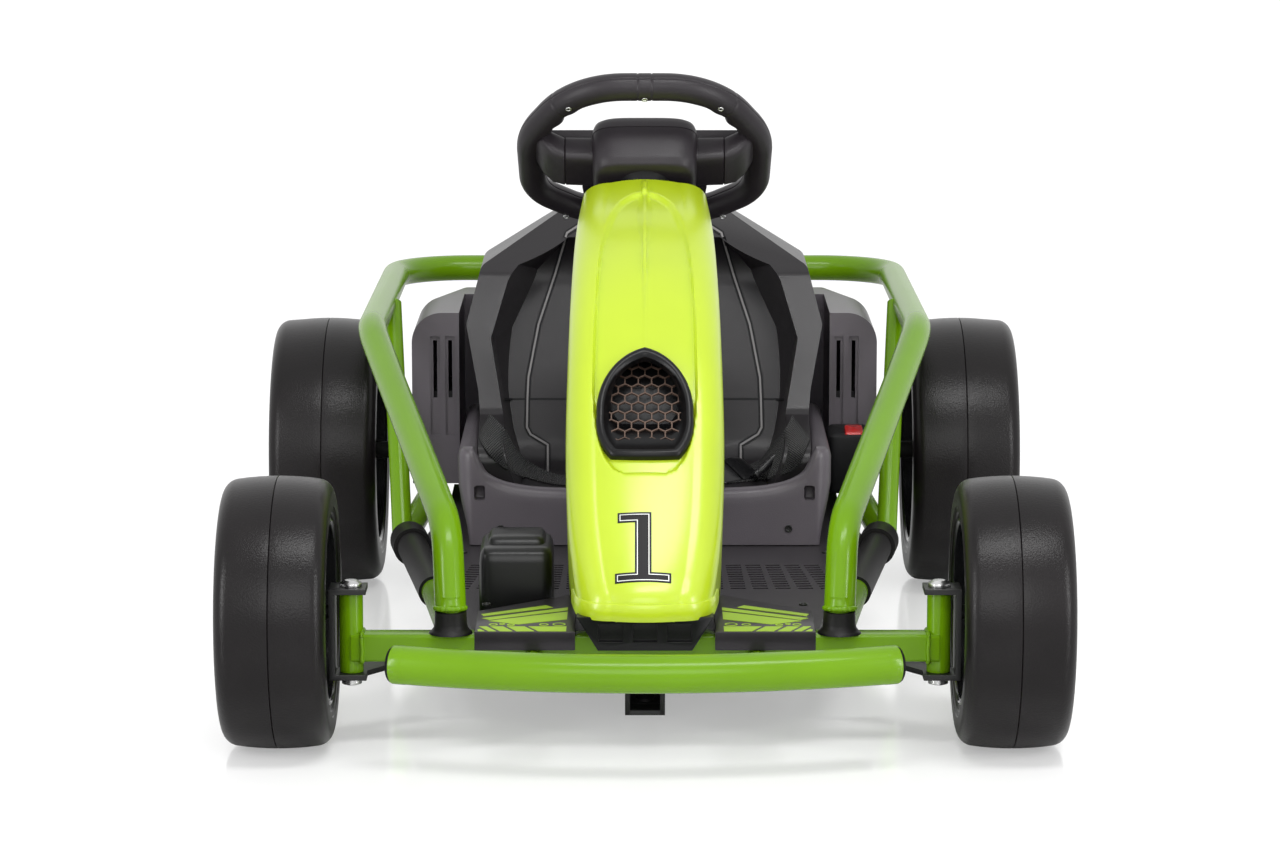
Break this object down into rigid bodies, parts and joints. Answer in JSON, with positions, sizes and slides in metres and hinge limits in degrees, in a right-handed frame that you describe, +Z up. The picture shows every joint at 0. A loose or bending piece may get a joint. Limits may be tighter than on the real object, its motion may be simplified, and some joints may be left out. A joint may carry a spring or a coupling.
{
  "type": "electric drift kart",
  "caption": "Child's electric drift kart: low tubular frame with a side guard, bucket seat, tall nose with a meshed intake, steered front wheels and slick tyres.",
  "frame": {"origin": "on the floor, under the centre of the kart's bounding box", "axes": "+Z up, the kart faces -Y, +X is the driver's left"},
  "size_m": [0.69, 1.0114, 0.5116],
  "materials": {
    "green_paint": "gloss",
    "lime_gloss": "gloss",
    "black_plastic": "satin",
    "black_gloss": "gloss",
    "tyre_black": "satin",
    "rubber_black": "matte",
    "steel": "satin",
    "webbing": "matte"
  },
  "bodies": {
    "chassis": {"frame_beam": "green_paint", "side_rails": "green_paint", "side_guard": "green_paint", "uprights": "green_paint", "bumper": "green_paint", "bumper_caps": "rubber_black", "guard_boots": "rubber_black", "rail_sleeves": "rubber_black", "column_bracket": "steel", "floor_pan": "black_plastic", "deck_plates": "black_plastic", "nose_base": "black_plastic", "nose_shell": "lime_gloss", "intake_bezel": "black_gloss", "intake_mesh": "black_plastic", "column_bearing": "black_plastic", "pedal": "black_gloss", "seat": "black_plastic", "seat_base": "black_plastic", "lap_belt_left": "webbing", "lap_belt_right": "webbing", "belt_buckle": "black_gloss", "rear_housing": "black_plastic", "battery": "black_plastic", "drive_units": "black_plastic", "switch_box": "black_plastic", "rear_stubs": "steel"},
    "steering": {"steering_column": "steel", "steering_wheel": "black_plastic", "wheel_cover": "black_plastic"},
    "knuckle_left": {"knuckle_left": "steel", "kingpin_bolt_left": "steel"},
    "tie_rod_left": {"tie_rod_left": "steel"},
    "wheel_front_left": {"tyre_front_left": "tyre_black", "hub_front_left": "black_plastic"},
    "wheel_rear_left": {"tyre_rear_left": "tyre_black", "hub_rear_left": "black_plastic"},
    "knuckle_right": {"knuckle_right": "steel", "kingpin_bolt_right": "steel"},
    "tie_rod_right": {"tie_rod_right": "steel"},
    "wheel_front_right": {"tyre_front_right": "tyre_black", "hub_front_right": "black_plastic"},
    "wheel_rear_right": {"tyre_rear_right": "tyre_black", "hub_rear_right": "black_plastic"}
  },
  "joints": [
    {"name": "steering_turn", "type": "hinge", "parent": "chassis", "child": "steering", "pos_m": [0, -0.33375, 0.034], "axis": [0, 0.6704, 0.742], "range_deg": [-29, 29]},
    {"name": "knuckle_left_turn", "type": "hinge", "parent": "chassis", "child": "knuckle_left", "pos_m": [0.233, -0.36875, 0.092], "axis": [0, 0, 1], "range_deg": [-22, 22]},
    {"name": "tie_rod_left_pivot", "type": "hinge", "parent": "knuckle_left", "child": "tie_rod_left", "pos_m": [0.188, -0.30675, 0.05], "axis": [0, 0, 1], "range_deg": [-28, 28]},
    {"name": "wheel_front_left_spin", "type": "hinge", "parent": "knuckle_left", "child": "wheel_front_left", "pos_m": [0.29, -0.36875, 0.108], "axis": [1, 0, 0], "continuous": true},
    {"name": "wheel_rear_left_spin", "type": "hinge", "parent": "chassis", "child": "wheel_rear_left", "pos_m": [0.296, 0.27125, 0.1245], "axis": [1, 0, 0], "continuous": true},
    {"name": "knuckle_right_turn", "type": "hinge", "parent": "chassis", "child": "knuckle_right", "pos_m": [-0.233, -0.36875, 0.092], "axis": [0, 0, 1], "range_deg": [-22, 22]},
    {"name": "tie_rod_right_pivot", "type": "hinge", "parent": "knuckle_right", "child": "tie_rod_right", "pos_m": [-0.188, -0.30675, 0.05], "axis": [0, 0, 1], "range_deg": [-28, 28]},
    {"name": "wheel_front_right_spin", "type": "hinge", "parent": "knuckle_right", "child": "wheel_front_right", "pos_m": [-0.29, -0.36875, 0.108], "axis": [1, 0, 0], "continuous": true},
    {"name": "wheel_rear_right_spin", "type": "hinge", "parent": "chassis", "child": "wheel_rear_right", "pos_m": [-0.296, 0.27125, 0.1245], "axis": [1, 0, 0], "continuous": true}
  ],
  "couplings": [
    {"joint": "knuckle_left_turn", "follows": "steering_turn", "ratio": 0.75},
    {"joint": "tie_rod_left_pivot", "follows": "steering_turn", "ratio": -0.9407},
    {"joint": "knuckle_right_turn", "follows": "steering_turn", "ratio": 0.75},
    {"joint": "tie_rod_right_pivot", "follows": "steering_turn", "ratio": -0.9407}
  ]
}
